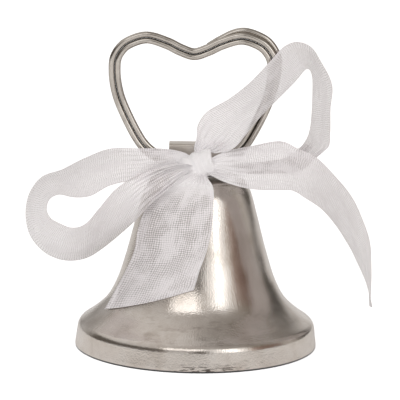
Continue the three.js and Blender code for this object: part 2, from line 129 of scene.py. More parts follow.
RIGHT_LOOP = [
    (-0.8, -4.6, 42.7, 2.6, -4.4, 42.3),
    (-0.4, -4.2, 45.0, 4.6, -6.0, 42.0),
    (-0.1, -3.8, 47.5, 7.5, -8.4, 43.7),
    (1.6, -3.2, 50.0, 9.8, -10.5, 46.8),
    (6.5, -2.8, 53.1, 12.6, -13.0, 50.9),
    (11.0, -2.6, 56.9, 16.3, -14.4, 55.2),
    (14.7, -2.4, 60.9, 19.8, -13.8, 58.8),
    (17.6, 0.0, 63.6, 21.3, -12.5, 60.4),
    (20.3, 2.0, 64.3, 22.0, -11.5, 60.7),
    (23.3, 3.5, 63.1, 22.7, -10.5, 60.2),
    (25.6, 4.5, 59.8, 23.1, -10.0, 58.6),
    (28.0, 5.0, 54.9, 23.2, -9.5, 55.2),
    (27.8, 5.0, 49.6, 23.2, -9.3, 51.0),
    (27.8, 5.0, 44.6, 22.9, -7.5, 47.4),
    (27.5, 5.2, 41.7, 22.3, -4.0, 44.6),
    (24.9, 5.4, 39.4, 20.9, 0.0, 41.8),
    (21.5, 3.6, 36.9, 18.1, 0.0, 39.8),
    (15.1, -0.2, 36.9, 13.3, -1.8, 39.5),
    (8.6, -3.6, 37.4, 8.0, -4.2, 39.5),
    (5.5, -4.8, 38.0, 5.5, -5.2, 39.5),
    (3.3, -5.1, 38.3, 3.3, -5.6, 39.4),
]
RIGHT_TAIL = [
    (3.0, -6.2, 41.3, 3.1, -8.4, 37.6),
    (5.6, -5.8, 42.5, 5.5, -11.2, 37.0),
    (10.8, -5.8, 43.7, 10.7, -14.0, 36.1),
    (17.3, -6.5, 44.9, 16.4, -15.5, 36.2),
    (20.6, -7.5, 43.6, 19.3, -16.0, 36.2),
    (24.4, -7.5, 41.8, 22.0, -16.5, 34.7),
    (28.3, -5.5, 37.7, 25.2, -16.5, 32.6),
    (32.2, -2.8, 32.6, 28.5, -16.0, 28.9),
    (34.8, -0.5, 27.0, 31.2, -14.5, 24.6),
    (36.4, 2.0, 21.9, 33.1, -13.0, 20.6),
    (37.1, 4.5, 16.0, 34.9, -11.0, 16.6),
    (37.3, 6.5, 11.2, 36.1, -9.3, 13.0),
    (37.3, 8.0, 7.0, 36.8, -8.0, 10.3),
]
# The front tail lies on the bell, and (x, z) of its edges is enough below the crown's edge.
DRAPE_GAP = 0.5
# The least gap to the bell that is left under the front tail, and under the left loop.
TAIL_CLEARANCE = 0.25
LOOP_CLEARANCE = 0.45
FRONT_TAIL_TOP = [
    (-2.4, -9.0, 37.8, 2.0, -9.0, 37.4),
    (-6.2, -10.0, 36.2, 3.1, -10.6, 36.1),
]
FRONT_TAIL_DRAPED = [
    (-8.9, 33.1, 3.4, 34.0),
    (-11.0, 29.6, 3.3, 31.2),
    (-12.2, 26.1, 3.1, 27.4),
    (-13.1, 21.1, 2.2, 23.4),
    (-16.0, 14.5, 0.6, 18.9),
    (-19.1, 8.9, -0.4, 15.4),
]


# ---------------------------------------------------------------- curves and meshes

def root_of_gap(a, b):
    """Square root of the distance between each point of a and the same point of b."""
    return np.maximum(np.linalg.norm(b - a, axis=1), 1e-9)[:, None] ** 0.5


def curve_at(points, at, closed=False):
    """Points of a centripetal Catmull-Rom curve; at is counted in given points from the first."""
    given = np.asarray(points, float)
    count = len(given)
    if closed:
        index = np.floor(at).astype(int)
        share = at - index
        corners = [given[(index + k) % count] for k in (-1, 0, 1, 2)]
    else:
        index = np.clip(np.floor(at).astype(int), 0, count - 2)
        share = at - index
        before = 2 * given[0] - given[1]
        after = 2 * given[-1] - given[-2]
        padded = np.vstack([before, given, after])
        corners = [padded[index + k] for k in (0, 1, 2, 3)]
    p0, p1, p2, p3 = corners
    d0 = root_of_gap(p0, p1)
    d1 = root_of_gap(p1, p2)
    d2 = root_of_gap(p2, p3)
    m1 = ((p1 - p0) / d0 - (p2 - p0) / (d0 + d1) + (p2 - p1) / d1) * d1
    m2 = ((p2 - p1) / d1 - (p3 - p1) / (d1 + d2) + (p3 - p2) / d2) * d1
    t = share[:, None]
    return (
        p1
        + m1 * t
        + (-3 * p1 + 3 * p2 - 2 * m1 - m2) * t**2
        + (2 * p1 - 2 * p2 + m1 + m2) * t**3
    )


def along(points):
    """Distance of each point from the first, along the line through them."""
    steps = np.linalg.norm(np.diff(points, axis=0), axis=1)
    return np.concatenate([[0.0], np.cumsum(steps)])


def smooth_step(low, high, value):
    """0 up to low, 1 from high, and an even rise between them."""
    t = np.clip((value - low) / (high - low), 0.0, 1.0)
    return t * t * (3 - 2 * t)


def unit(vectors):
    length = np.linalg.norm(vectors, axis=-1, keepdims=True)
    return vectors / np.maximum(length, 1e-12)


def add_cloth_map(mesh, corners, uv):
    """A UV map named cloth. Corners are grid places, and a place past the end takes the last."""
    layer = mesh.uv_layers.new(name="cloth")
    flat = []
    for face in corners:
        for i, j in face:
            for values in uv:
                row = values[min(i, len(values) - 1)]
                flat.append(float(row[min(j, len(row) - 1)]))
    layer.data.foreach_set("uv", flat)


def grid_mesh(name, points, wrap_rows=False, wrap_columns=False, uv=None, caps=False):
    """A mesh of quads over a grid of points in mm, with an optional UV map named cloth."""
    rows, columns = points.shape[:2]
    verts = (points.reshape(-1, 3) * MM).tolist()
    faces = []
    corners = []
    for i in range(rows if wrap_rows else rows - 1):
        for j in range(columns if wrap_columns else columns - 1):
            i2 = (i + 1) % rows
            j2 = (j + 1) % columns
            faces.append((i * columns + j, i2 * columns + j, i2 * columns + j2, i * columns + j2))
            corners.append(((i, j), (i + 1, j), (i + 1, j + 1), (i, j + 1)))
    if caps:
        faces.append(tuple(range(columns)))
        corners.append(tuple((0, j) for j in range(columns)))
        last = (rows - 1) * columns
        faces.append(tuple(reversed(range(last, last + columns))))
        corners.append(tuple((rows - 1, j) for j in reversed(range(columns))))
    mesh = bpy.data.meshes.new(name)
    mesh.from_pydata(verts, [], faces)
    if uv is not None:
        add_cloth_map(mesh, corners, uv)
    mesh.polygons.foreach_set("use_smooth", [True] * len(mesh.polygons))
    mesh.update()
    piece = bpy.data.objects.new(name, mesh)
    bpy.context.scene.collection.objects.link(piece)
    return piece


def face_outwards(piece):
    work = bmesh.new()
    work.from_mesh(piece.data)
    bmesh.ops.recalc_face_normals(work, faces=work.faces)
    work.to_mesh(piece.data)
    work.free()
    return piece


def lathe(name, profile, segments, ripple=None):
    """A closed body turned about Z from a closed profile of (radius, height)."""
    outline = np.asarray(profile, float)
    angles = np.linspace(0, 2 * math.pi, segments, endpoint=False)
    radius = np.repeat(outline[:, :1], segments, axis=1)
    height = np.repeat(outline[:, 1:], segments, axis=1)
    if ripple is not None:
        radius = radius + ripple(angles[None, :], height)
    grid = np.stack([radius * np.cos(angles), radius * np.sin(angles), height], axis=-1)
    return face_outwards(grid_mesh(name, grid, wrap_rows=True, wrap_columns=True))


def spun(name, profile, segments):
    """A closed body turned about Z from a profile that starts and ends on the axis."""
    inner = [(max(r, 1e-3), z) for r, z in profile]
    angles = np.linspace(0, 2 * math.pi, segments, endpoint=False)
    outline = np.asarray(inner, float)
    grid = np.stack([
        outline[:, :1] * np.cos(angles),
        outline[:, :1] * np.sin(angles),
        np.repeat(outline[:, 1:], segments, axis=1),
    ], axis=-1)
    return face_outwards(grid_mesh(name, grid, wrap_columns=True, caps=True))


def sweep(name, path, radius, sides, closed=False):
    """A round wire along a path, with rounded ends when it isn't closed."""
    path = np.asarray(path, float)
    if closed:
        tangent = unit(np.roll(path, -1, axis=0) - np.roll(path, 1, axis=0))
    else:
        tangent = unit(np.gradient(path, axis=0))
    side = np.zeros_like(path)
    start = np.array([0.0, 1.0, 0.0])
    if abs(tangent[0] @ start) > 0.9:
        start = np.array([1.0, 0.0, 0.0])
    side[0] = unit(start - tangent[0] * (start @ tangent[0]))
    for i in range(1, len(path)):
        previous = side[i - 1]
        side[i] = unit(previous - tangent[i] * (previous @ tangent[i]))
    other = np.cross(tangent, side)
    thickness = np.full(len(path), radius)
    if not closed:
        reach = along(path)
        for distance in (reach, reach[-1] - reach):
            near = distance < radius
            thickness[near] = radius * np.sqrt(
                np.maximum(0.02, 1 - ((radius - distance[near]) / radius) ** 2))
    angles = np.linspace(0, 2 * math.pi, sides, endpoint=False)
    ring = (np.cos(angles)[None, :, None] * side[:, None, :]
            + np.sin(angles)[None, :, None] * other[:, None, :])
    grid = path[:, None, :] + ring * thickness[:, None, None]
    u = np.tile(np.linspace(0, 1, sides + 1), (len(path) + 1, 1))
    reach = np.append(along(path), along(path)[-1] + 1)
    v = np.repeat(reach[:, None], sides + 1, axis=1)
    piece = grid_mesh(name, grid, wrap_rows=closed, wrap_columns=True, uv=(u, v), caps=not closed)
    return face_outwards(piece)


def joined(name, *pieces):
    """One piece made of several meshes that share a material."""
    work = bmesh.new()
    for piece in pieces:
        work.from_mesh(piece.data)
        bpy.data.objects.remove(piece)
    mesh = bpy.data.meshes.new(name)
    work.to_mesh(mesh)
    work.free()
    mesh.polygons.foreach_set("use_smooth", [True] * len(mesh.polygons))
    result = bpy.data.objects.new(name, mesh)
    bpy.context.scene.collection.objects.link(result)
    return result


# ---------------------------------------------------------------- materials

def new_material(name):
    material = bpy.data.materials.new(name)
    material.use_nodes = True
    nodes = material.node_tree.nodes
    return material, material.node_tree, nodes["Principled BSDF"]


def node(tree, kind, **settings):
    made = tree.nodes.new(kind)
    inputs = settings.pop("inputs", {})
    for key, value in settings.items():
        setattr(made, key, value)
    for key, value in inputs.items():
        if isinstance(value, bpy.types.NodeSocket):
            tree.links.new(value, made.inputs[key])
        else:
            made.inputs[key].default_value = value
    return made


def maths(tree, operation, *values, clamp=False):
    made = node(tree, "ShaderNodeMath", operation=operation, use_clamp=clamp)
    for slot, value in enumerate(values):
        if isinstance(value, bpy.types.NodeSocket):
            tree.links.new(value, made.inputs[slot])
        else:
            made.inputs[slot].default_value = value
    return made.outputs[0]


def remap(tree, value, low, high, to_low, to_high, smooth=False):
    made = node(tree, "ShaderNodeMapRange", clamp=True)
    made.interpolation_type = "SMOOTHSTEP" if smooth else "LINEAR"
    tree.links.new(value, made.inputs["Value"])
    made.inputs["From Min"].default_value = low
    made.inputs["From Max"].default_value = high
    made.inputs["To Min"].default_value = to_low
    made.inputs["To Max"].default_value = to_high
    return made.outputs["Result"]


def noise(tree, vector, scale, detail=3.0, roughness=0.5):
    made = node(tree, "ShaderNodeTexNoise", inputs={
        "Vector": vector, "Scale": scale, "Detail": detail, "Roughness": roughness})
    return made.outputs["Fac"]


def ramp(tree, value, stops):
    made = node(tree, "ShaderNodeValToRGB", inputs={"Fac": value})
    elements = made.color_ramp.elements
    while len(elements) > 1:
        elements.remove(elements[-1])
    elements[0].position = stops[0][0]
    elements[0].color = (*stops[0][1], 1)
    for position, colour in stops[1:]:
        elements.new(position).color = (*colour, 1)
    return made.outputs["Color"]


def mix(tree, share, first, second):
    """The first colour where the share is 0 and the second where it is 1."""
    made = node(tree, "ShaderNodeMixRGB", inputs={"Fac": share, "Color1": first, "Color2": second})
    return made.outputs["Color"]


def stretched_noise(tree, vector, scale, detail, roughness):
    made = node(tree, "ShaderNodeMapping", inputs={"Vector": vector, "Scale": scale})
    return noise(tree, made.outputs["Vector"], 1.0, detail, roughness)


def bump(tree, height, strength, distance):
    made = node(tree, "ShaderNodeBump", inputs={
        "Height": height, "Strength": strength, "Distance": distance})
    return made.outputs["Normal"]


def object_position(tree):
    return node(tree, "ShaderNodeTexCoord").outputs["Object"]


def axes_of(tree, vector):
    outputs = node(tree, "ShaderNodeSeparateXYZ", inputs={"Vector": vector}).outputs
    return outputs["X"], outputs["Y"], outputs["Z"]


def round_axis(tree, turns, height):
    """Coordinates that run round the Z axis and along it, so that a pattern can be stretched."""
    x, y, z = axes_of(tree, object_position(tree))
    squares = maths(tree, "ADD", maths(tree, "MULTIPLY", x, x), maths(tree, "MULTIPLY", y, y))
    safe = maths(tree, "MAXIMUM", maths(tree, "SQRT", squares), 1e-5)
    made = node(tree, "ShaderNodeCombineXYZ", inputs={
        "X": maths(tree, "MULTIPLY", maths(tree, "DIVIDE", x, safe), turns),
        "Y": maths(tree, "MULTIPLY", maths(tree, "DIVIDE", y, safe), turns),
        "Z": maths(tree, "MULTIPLY", z, height)})
    return made.outputs["Vector"]


def dulled_plate(tree, smudges, height, off_patch):
    """Nickel's own tone, with the brown marks that handling leaves on the flare."""
    plate = ramp(tree, smudges, [
        (0.3, (0.61, 0.55, 0.495)), (0.48, (0.74, 0.685, 0.635)), (0.72, (0.81, 0.765, 0.72))])
    handling = remap(tree, noise(tree, round_axis(tree, 4.0, 800.0), 1.0, 4.0, 0.65),
                     0.5, 0.7, 0.0, 0.34, smooth=True)
    low_down = remap(tree, height, 0.0085, 0.0125, 1.0, 0.0, smooth=True)
    at_front = remap(tree, off_patch, 0.008, 0.018, 1.0, 0.15, smooth=True)
    on_flare = maths(tree, "MULTIPLY", low_down, at_front)
    return mix(tree, maths(tree, "MULTIPLY", handling, on_flare), plate, (0.27, 0.22, 0.18, 1))


def worn_foot_and_rim_shade(tree, plate, height, off_patch):
    """Scratches through the plate on the lower band, and painted shade along the bottom edge, a
    near-black line where the rim meets the floor.
    """
    patch = remap(tree, off_patch, 0.003, 0.011, 1.0, 0.0, smooth=True)
    scratches = maths(tree, "ADD", noise(tree, round_axis(tree, 14.0, 3400.0), 1.0, 3.0, 0.6),
                      maths(tree, "MULTIPLY", patch, 0.17))
    low_band = remap(tree, height, 0.0008, 0.0024, 1.0, 0.0, smooth=True)
    worn = maths(tree, "MULTIPLY", low_band,
                 remap(tree, scratches, 0.64, 0.76, 0.0, 0.9, smooth=True))
    stained = mix(tree, worn, plate, (0.09, 0.07, 0.06, 1))
    # Painted shade: the lowest half millimetre goes near black, standing in for the contact shadow
    # under the rim.
    painted_rim_shade = remap(tree, height, 0.00030, 0.00052, 1.0, 0.0, smooth=True)
    return mix(tree, painted_rim_shade, stained, (0.08, 0.08, 0.085, 1))


def bell_roughness(tree, smudges, streaks, height):
    polish = remap(tree, smudges, 0.35, 0.75, 0.10, 0.16, smooth=True)
    marked = maths(tree, "ADD", polish, maths(tree, "MULTIPLY", streaks, 0.06))
    near_rim = remap(tree, height, 0.0, 0.0040, 0.07, 0.0, smooth=True)
    spots = noise(tree, object_position(tree), 900.0, 2.0, 0.5)
    grit = maths(tree, "MULTIPLY", remap(tree, spots, 0.6, 0.8, 0.0, 1.0), 0.08)
    return maths(tree, "ADD", maths(tree, "ADD", marked, near_rim), grit)


def bell_nickel():
    """Polished nickel plate: fine marks round the axis, soft smudges, a worn lower band and painted
    shade along the bottom edge.
    """
    material, tree, shader = new_material("bell_nickel")
    side, _, height = axes_of(tree, object_position(tree))
    off_patch = maths(tree, "ABSOLUTE", maths(tree, "SUBTRACT", side, 0.0025))
    smudges = noise(tree, object_position(tree), 160.0, 4.0, 0.6)
    streaks = noise(tree, round_axis(tree, 60.0, 90.0), 1.0, 3.0, 0.6)
    rings = noise(tree, round_axis(tree, 1.5, 2600.0), 1.0, 2.0, 0.6)
    peel = noise(tree, object_position(tree), 3400.0, 1.0, 0.5)
    plate = dulled_plate(tree, smudges, height, off_patch)
    tree.links.new(worn_foot_and_rim_shade(tree, plate, height, off_patch), shader.inputs["Base Color"])
    shader.inputs["Metallic"].default_value = 1.0
    tree.links.new(bell_roughness(tree, smudges, streaks, height), shader.inputs["Roughness"])
    lines = maths(tree, "ADD", maths(tree, "MULTIPLY", rings, 0.35), streaks)
    relief = maths(tree, "ADD", lines, maths(tree, "MULTIPLY", peel, 1.8))
    tree.links.new(bump(tree, relief, 0.08, 0.0002), shader.inputs["Normal"])
    return material


def wire_nickel():
    """Bright spring wire: drawing lines along it, and painted shade in the groove between two
    strands.
    """
    material, tree, shader = new_material("wire_nickel")
    place = node(tree, "ShaderNodeUVMap", uv_map="cloth").outputs["UV"]
    lines = stretched_noise(tree, place, (30.0, 0.5, 1.0), 3.0, 0.6)
    wear = noise(tree, object_position(tree), 420.0, 3.0, 0.6)
    plate = ramp(tree, wear, [(0.3, (0.54, 0.50, 0.455)), (0.7, (0.68, 0.64, 0.59))])
    # Painted shade: the base colour goes near black where ambient occlusion finds the other strand
    # close by.
    nearby = node(tree, "ShaderNodeAmbientOcclusion", samples=8, only_local=True,
                  inputs={"Distance": 0.0005}).outputs["AO"]
    painted_gap_shade = remap(tree, nearby, 0.50, 0.86, 1.0, 0.0, smooth=True)
    tree.links.new(mix(tree, painted_gap_shade, plate, (0.03, 0.024, 0.02, 1)), shader.inputs["Base Color"])
    shader.inputs["Metallic"].default_value = 1.0
    tree.links.new(remap(tree, lines, 0.3, 0.75, 0.10, 0.17), shader.inputs["Roughness"])
    shader.inputs["Specular Tint"].default_value = (0.12, 0.10, 0.09, 1)
    tree.links.new(bump(tree, lines, 0.03, 0.00002), shader.inputs["Normal"])
    return material


def strap_nickel():
    """Plated sheet with a satin, rolled face."""
    material, tree, shader = new_material("strap_nickel")
    grain = stretched_noise(tree, object_position(tree), (250.0, 5000.0, 5000.0), 4.0, 0.65)
    stains = noise(tree, object_position(tree), 380.0, 3.0, 0.6)
    tree.links.new(
        ramp(tree, stains, [(0.3, (0.58, 0.53, 0.475)), (0.7, (0.70, 0.65, 0.60))]),
        shader.inputs["Base Color"])
    shader.inputs["Metallic"].default_value = 1.0
    tree.links.new(remap(tree, grain, 0.3, 0.75, 0.28, 0.42), shader.inputs["Roughness"])
    tree.links.new(bump(tree, grain, 0.12, 0.0001), shader.inputs["Normal"])
    return material


def plain_steel(name, colour, turns, height):
    """Turned or drawn steel: fine lines round the axis over a slightly uneven tone."""
    material, tree, shader = new_material(name)
    lines = noise(tree, round_axis(tree, turns, height), 1.0, 3.0, 0.6)
    tone = noise(tree, object_position(tree), 500.0, 3.0, 0.6)
    dark = tuple(0.84 * channel for channel in colour)
    tree.links.new(ramp(tree, tone, [(0.3, dark), (0.7, colour)]), shader.inputs["Base Color"])
    shader.inputs["Metallic"].default_value = 1.0
    tree.links.new(remap(tree, lines, 0.3, 0.75, 0.22, 0.4), shader.inputs["Roughness"])
    tree.links.new(bump(tree, lines, 0.1, 0.0001), shader.inputs["Normal"])
    return material


def threads(tree, coordinate, sway):
    """1 on the middle of each thread and 0 midway between two."""
    moved = maths(tree, "DIVIDE", maths(tree, "ADD", coordinate, sway), THREAD_PITCH)
    centred = maths(tree, "SUBTRACT", maths(tree, "FRACT", moved), 0.5)
    off_middle = maths(tree, "MULTIPLY", maths(tree, "ABSOLUTE", centred), 2.0)
    return maths(tree, "SUBTRACT", 1.0, off_middle)


def cover_of(tree, thread, opening):
    """How solid the cloth is across a thread, where the opening beside it varies."""
    past_opening = maths(tree, "SUBTRACT", thread, opening)
    return maths(tree, "ADD", maths(tree, "MULTIPLY", past_opening, 4.0), 0.5, clamp=True)


def opening_beside(tree, place, from_knot):
    """The gap between threads: wider in some patches, and narrower far from the knot."""
    patches = stretched_noise(tree, place, (0.3, 0.2, 1.0), 3.0, 0.6)
    open_patches = remap(tree, patches, 0.36, 0.62, 0.16, 0.55, smooth=True)
    return maths(tree, "MULTIPLY", open_patches, remap(tree, from_knot, 14.0, 26.0, 1.0, 0.6))


def selvedge_of(tree, across):
    """1 on the ribbon's two woven edges and 0 between them."""
    from_edge = maths(tree, "MINIMUM", across, maths(tree, "SUBTRACT", RIBBON_WIDTH, across))
    return remap(tree, from_edge, SELVEDGE * 0.6, SELVEDGE, 1.0, 0.0, smooth=True)


def organza():
    """Sheer plain weave with denser edges. It is denser still where the knot draws it in, and there
    it glows a little: painted light that lifts the shade in the gathers.
    """
    material, tree, shader = new_material("organza")
    place = node(tree, "ShaderNodeUVMap", uv_map="cloth").outputs["UV"]
    across, from_knot, _ = axes_of(tree, place)
    drift = stretched_noise(tree, place, (0.45, 0.3, 1.0), 3.0, 0.55)
    sway = maths(tree, "MULTIPLY", maths(tree, "SUBTRACT", drift, 0.5), 0.9)
    warp = threads(tree, across, sway)
    weft = threads(tree, from_knot, sway)
    opening = opening_beside(tree, place, from_knot)
    layers = maths(tree, "ADD", cover_of(tree, warp, opening), cover_of(tree, weft, opening))
    fibres = stretched_noise(tree, place, (6.0, 6.0, 1.0), 4.0, 0.6)
    drawn_in_and_glow = remap(tree, from_knot, 2.0, 11.0, 1.0, 0.0, smooth=True)

    haze = maths(tree, "SUBTRACT", remap(tree, fibres, 0.3, 0.75, 0.50, 0.62),
                 remap(tree, from_knot, 28.0, 42.0, 0.0, 0.07))
    woven = maths(tree, "ADD", haze, maths(tree, "MULTIPLY", layers, 0.21))
    gathered = maths(tree, "ADD", woven, maths(tree, "MULTIPLY", drawn_in_and_glow, 0.4))
    solid_edge = maths(tree, "MULTIPLY", selvedge_of(tree, across), 0.9)
    alpha = maths(tree, "MAXIMUM", gathered, solid_edge, clamp=True)
    tree.links.new(alpha, shader.inputs["Alpha"])

    thread_white = ramp(tree, fibres, [(0.25, (0.83, 0.80, 0.815)), (0.75, (0.90, 0.875, 0.89))])
    both_threads = maths(tree, "MULTIPLY", layers, 0.5)
    by_cover = mix(tree, both_threads, (0.60, 0.56, 0.555, 1), thread_white)
    tree.links.new(mix(tree, drawn_in_and_glow, by_cover, (0.74, 0.72, 0.725, 1)), shader.inputs["Base Color"])
    tree.links.new(remap(tree, fibres, 0.3, 0.8, 0.5, 0.7), shader.inputs["Roughness"])
    shader.inputs["Sheen Weight"].default_value = 0.15
    shader.inputs["Sheen Roughness"].default_value = 0.5
    shader.inputs["Specular IOR Level"].default_value = 0.25
    relief = maths(tree, "ADD", warp, weft)
    tree.links.new(bump(tree, relief, 0.25, 0.00006), shader.inputs["Normal"])
    # Painted light: near the knot the cloth glows faintly, as a stand-in for light scattered through
    # its layers.
    shader.inputs["Emission Color"].default_value = (1.0, 0.985, 0.99, 1)
    tree.links.new(maths(tree, "MULTIPLY", drawn_in_and_glow, 0.13), shader.inputs["Emission Strength"])
    return material


def finish_piece(piece, body, material, slot, *replaced):
    piece.data.materials.clear()
    piece.data.materials.append(material)
    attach(piece, body)
    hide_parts(*replaced)
    return piece


# ---------------------------------------------------------------- the bell and its metal pieces

def bell_outside():
    """(radius, height) from the mouth to the edge of the rivet's hole in the crown."""
    rim = [(24.75, 0.0), (25.15, 0.02), (25.36, 0.14), (25.4, 0.42)]
    band = [(25.4 - 0.088 * k, 0.42 + 0.72 * k) for k in range(1, 5)]
    corner = np.array([(24.97, 3.95), (24.86, 4.93), (24.1, 5.52)])
    t = np.linspace(0, 1, 16)[:, None]
    shoulder = (1 - t) ** 2 * corner[0] + 2 * t * (1 - t) * corner[1] + t**2 * corner[2]
    flare = curve_at([tuple(corner[2])] + WAIST[1:], np.linspace(0.05, len(WAIST) - 1, 100))
    fillet = [(9.85, 35.22), (9.42, 35.6), (8.92, 35.86), (8.4, 35.97), (7.8, CROWN_HEIGHT)]
    crown = [(6.0, CROWN_HEIGHT), (3.0, CROWN_HEIGHT), (RIVET_HOLE_RADIUS, CROWN_HEIGHT)]
    return np.vstack([rim, band, shoulder, flare, fillet, crown])


def bell_ripple(angles, height):
    """The slight unevenness that stamping leaves, in mm. The rim and the crown stay round."""
    waves = (0.030 * np.sin(3 * angles + 0.12 * height + 0.4)
             + 0.022 * np.sin(5 * angles - 0.21 * height + 2.1)
             + 0.012 * np.sin(11 * angles + 0.35 * height + 1.2)
             + 0.008 * np.sin(17 * angles - 0.5 * height + 4.0))
    return waves * smooth_step(0.5, 5.0, height) * (1 - smooth_step(33.0, 35.5, height))


def make_bell():
    outside = bell_outside()
    run = unit(np.gradient(outside, axis=0))
    inside = outside + WALL * np.stack([-run[:, 1], run[:, 0]], axis=-1)
    keep = (inside[:, 1] > 0.3) & (inside[:, 0] > RIVET_HOLE_RADIUS) & (outside[:, 0] > 1.3)
    inside = inside[keep]
    inside[:, 1] = np.minimum(inside[:, 1], CROWN_HEIGHT - WALL)
    lip = [(24.62, 0.25), (24.66, 0.08)]
    hole = [(RIVET_HOLE_RADIUS, CROWN_HEIGHT - WALL)]
    profile = np.vstack([outside, hole, inside[::-1], lip])
    bell = lathe("bell_shell_polished", profile, 288, bell_ripple)
    return finish_piece(bell, "root", bell_nickel(), "polished_nickel", "bell_shell")


def heart_path():
    """The middle of the wire, from its start in the strap to its end behind the notch."""
    right = [(x, 0.0, z) for x, z in HEART_HALF]
    left = [(-x, 0.0, z) for x, z in HEART_HALF[-2:0:-1]]
    given = np.array(right + left)
    fine = curve_at(given, np.linspace(0, len(given), 4001), closed=True)
    reach = along(fine) / along(fine)[-1]

    def heart_at(turn):
        return np.stack([np.interp(turn % 1, reach, fine[:, k]) for k in range(3)], axis=-1)

    turn = np.linspace(WIRE_START_TURN, WIRE_END_TURN, 1100)
    place = turn % 1.0
    centre = heart_at(place)
    tangent = unit(heart_at(place + 0.002) - heart_at(place - 0.002))
    to_outer = smooth_step(0.98, 1.04, turn)
    to_back = smooth_step(1.93, 1.975, turn)
    rise = smooth_step(2.2, 2.36, turn) * (1 - smooth_step(2.38, WIRE_END_TURN, turn))
    out = STRAND_HALF_PITCH * (2 * to_outer - 1) + BACK_STRAND_RISE * rise
    return np.stack([
        HEART_CENTRE_X + centre[:, 0] + tangent[:, 2] * out,
        HEART_FRONT_Y + BACK_STRAND_SHIFT * to_back,
        centre[:, 2] - tangent[:, 0] * out,
    ], axis=-1)


def make_heart_wire():
    wire = sweep("heart_wire_drawn", heart_path(), WIRE_RADIUS, 20)
    return finish_piece(wire, "root", wire_nickel(), "wire_nickel", "heart_wire")


def arc(centre, radius, start, end, steps):
    angles = np.radians(np.linspace(start, end, steps))
    return [(centre[0] + radius * math.cos(a), centre[1] + radius * math.sin(a)) for a in angles]


def strap_outline():
    """The sheet's section in the YZ plane: up one side, over the wires, down, and in at the feet."""
    wide = STRAP_HALF_DEPTH
    narrow = STRAP_PINCHED_HALF_DEPTH
    low, high = STRAP_PINCH
    bend = 0.45
    foot_bend = 0.7
    side = (
        arc((wide - foot_bend, STRAP_BOTTOM + foot_bend), foot_bend, -90, 0, 6)
        + [(wide - (wide - narrow) * float(smooth_step(0, 1, t)), low + (high - low) * t)
           for t in np.linspace(0, 1, 9)]
        + arc((narrow - bend, STRAP_TOP - bend), bend, 0, 90, 8)
    )
    right = np.array([(STRAP_FOOT_GAP, STRAP_BOTTOM)] + side + [(0.0, STRAP_TOP)])
    run = unit(np.gradient(right, axis=0))
    inside = right + STRAP_SHEET * np.stack([-run[:, 1], run[:, 0]], axis=-1)
    inside[0] = (STRAP_FOOT_GAP, STRAP_BOTTOM + STRAP_SHEET)
    inside[-1] = (0.0, STRAP_TOP - STRAP_SHEET)
    outer_line = np.vstack([right, right[::-1][1:] * [-1, 1]])
    inner_line = np.vstack([inside, inside[::-1][1:] * [-1, 1]])
    return [tuple(p) for p in np.vstack([outer_line, inner_line[::-1]])]


def make_strap():
    """The saddle, with sheared edges that are slightly rounded over."""
    outline = strap_outline()
    half = STRAP_WIDTH / 2
    grid = np.array([[(x, y, z) for y, z in outline] for x in np.linspace(-half, half, 9)])
    strap = face_outwards(grid_mesh("crown_strap_bent", grid, wrap_columns=True, caps=True))
    soften = strap.modifiers.new("edges", "BEVEL")
    soften.width = 0.16 * MM
    soften.segments = 3
    soften.limit_method = "ANGLE"
    soften.angle_limit = math.radians(50)
    soften.harden_normals = True
    return finish_piece(strap, "root", strap_nickel(), "strap_nickel", "crown_strap")


def rounded(profile, radius=0.12):
    """A turned profile with its corners cut back to small chamfers. The ends stay."""
    points = [np.array(p, float) for p in profile]
    result = [points[0]]
    for before, corner, after in zip(points, points[1:], points[2:]):
        for toward in (before, after):
            step = toward - corner
            size = np.linalg.norm(step)
            result.append(corner + step / size * min(radius, size * 0.4))
    result.append(points[-1])
    return [tuple(p) for p in result]


def make_hanger():
    head = 37.2
    rivet = spun("hanger_rivet_turned", rounded([
        (0, 32.5), (0.7, 32.6), (1.7, 33.0), (1.7, 33.8), (0.9, 33.8), (0.9, head), (1.9, head),
        (1.9, head + 0.35), (1.33, head + 0.7), (0, head + 0.7),
    ]), 48)
    angles = np.linspace(0, 2 * math.pi, 72, endpoint=False)
    eye_path = np.stack([EYE_RADIUS * np.cos(angles), 0 * angles,
                         EYE_HEIGHT + EYE_RADIUS * np.sin(angles)], axis=-1)
    eye = sweep("hanger_eye", eye_path, EYE_WIRE_RADIUS, 20, closed=True)
    hanger = joined("hanger_rivet_and_eye", rivet, eye)
    return finish_piece(hanger, "root", plain_steel("rivet_steel", (0.62, 0.61, 0.60), 3.0, 3000.0),
                        "rivet_steel", "hanger_rivet")


def make_washer():
    low = 34.1
    high = CROWN_HEIGHT - WALL - 0.3
    profile = [(1.2, low), (3.4, low), (3.4, high), (1.2, high)]
    cut = rounded(profile + profile[:2])[1:-1]
    washer = lathe("crown_washer_turned", cut, 64)
    return finish_piece(washer, "root", plain_steel("washer_steel", (0.6, 0.59, 0.58), 40.0, 200.0),
                        "rivet_steel", "crown_washer")


def make_link():
    angles = np.linspace(0, 2 * math.pi, 90, endpoint=False)
    path = np.stack([0 * angles, LINK_RADIUS * np.cos(angles),
                     LINK_HEIGHT + LINK_RADIUS * np.sin(angles)], axis=-1)
    ring = sweep("clapper_link_ring", path, LINK_WIRE_RADIUS, 20, closed=True)
    return finish_piece(ring, "link", plain_steel("link_steel", (0.66, 0.64, 0.62), 20.0, 900.0),
                        "clapper_steel", "clapper_link")


